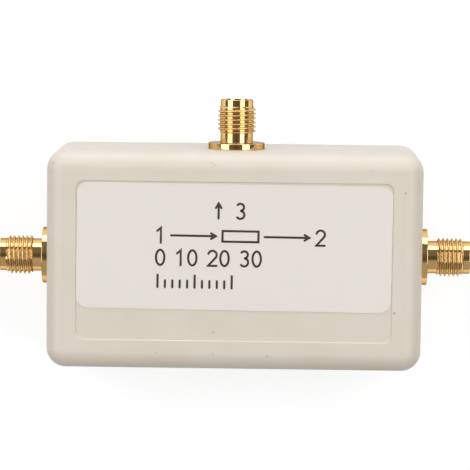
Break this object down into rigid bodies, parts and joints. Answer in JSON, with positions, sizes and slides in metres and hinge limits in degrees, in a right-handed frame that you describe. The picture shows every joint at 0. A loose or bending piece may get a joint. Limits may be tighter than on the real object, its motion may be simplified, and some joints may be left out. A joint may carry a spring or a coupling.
{
  "type": "coaxial return-loss bridge",
  "caption": "Small beige plastic instrument case with a label recess and threaded gold coaxial jacks on its ends and long side, for measuring how well an antenna is matched.",
  "frame": {"origin": "centre of the flat back face", "axes": "+Z out of the label face, +X along the case to the output jack, +Y to the test jack"},
  "size_m": [0.0772, 0.0436, 0.0204],
  "materials": {
    "moulded_plastic": "warm beige moulded plastic with a fine satin skin",
    "cover_plastic": "the same warm beige plastic",
    "label_film": "off-white film label with grey marks",
    "gold_plate": "bright gold plating over turned brass",
    "contact_gold": "gold plating on the spring contact",
    "nut_plate": "gold plating on the hexagon nut",
    "washer_plate": "gold plating on the toothed washer",
    "white_insulator": "waxy white fluoropolymer",
    "tinned_tag": "tinned strip",
    "screw_steel": "zinc plated steel",
    "board_laminate": "green glass-epoxy laminate",
    "solder": "bright solder",
    "chip_ceramic": "black glazed chips with tinned ends",
    "ferrite": "dark grey ferrite",
    "lead_jacket": "brown lead jacket",
    "lead_dielectric": "white dielectric",
    "lead_wire": "silver plated wire"
  },
  "bodies": {
    "root": {"front_shell": "moulded_plastic", "rear_cover": "cover_plastic", "cover_screws": "screw_steel", "face_label": "label_film", "input_jack": "gold_plate", "input_insulator": "white_insulator", "input_contact": "contact_gold", "input_lock_washer": "washer_plate", "input_ground_tag": "tinned_tag", "input_nut": "nut_plate", "output_jack": "gold_plate", "output_insulator": "white_insulator", "output_contact": "contact_gold", "output_lock_washer": "washer_plate", "output_ground_tag": "tinned_tag", "output_nut": "nut_plate", "test_jack": "gold_plate", "test_insulator": "white_insulator", "test_contact": "contact_gold", "test_lock_washer": "washer_plate", "test_ground_tag": "tinned_tag", "test_nut": "nut_plate", "circuit_board": "board_laminate", "pin_solder": "solder", "bridge_resistors": "chip_ceramic", "reference_resistors": "chip_ceramic", "balun_beads": "ferrite", "coax_jacket": "lead_jacket", "coax_dielectric": "lead_dielectric", "coax_conductor": "lead_wire"}
  },
  "joints": []
}
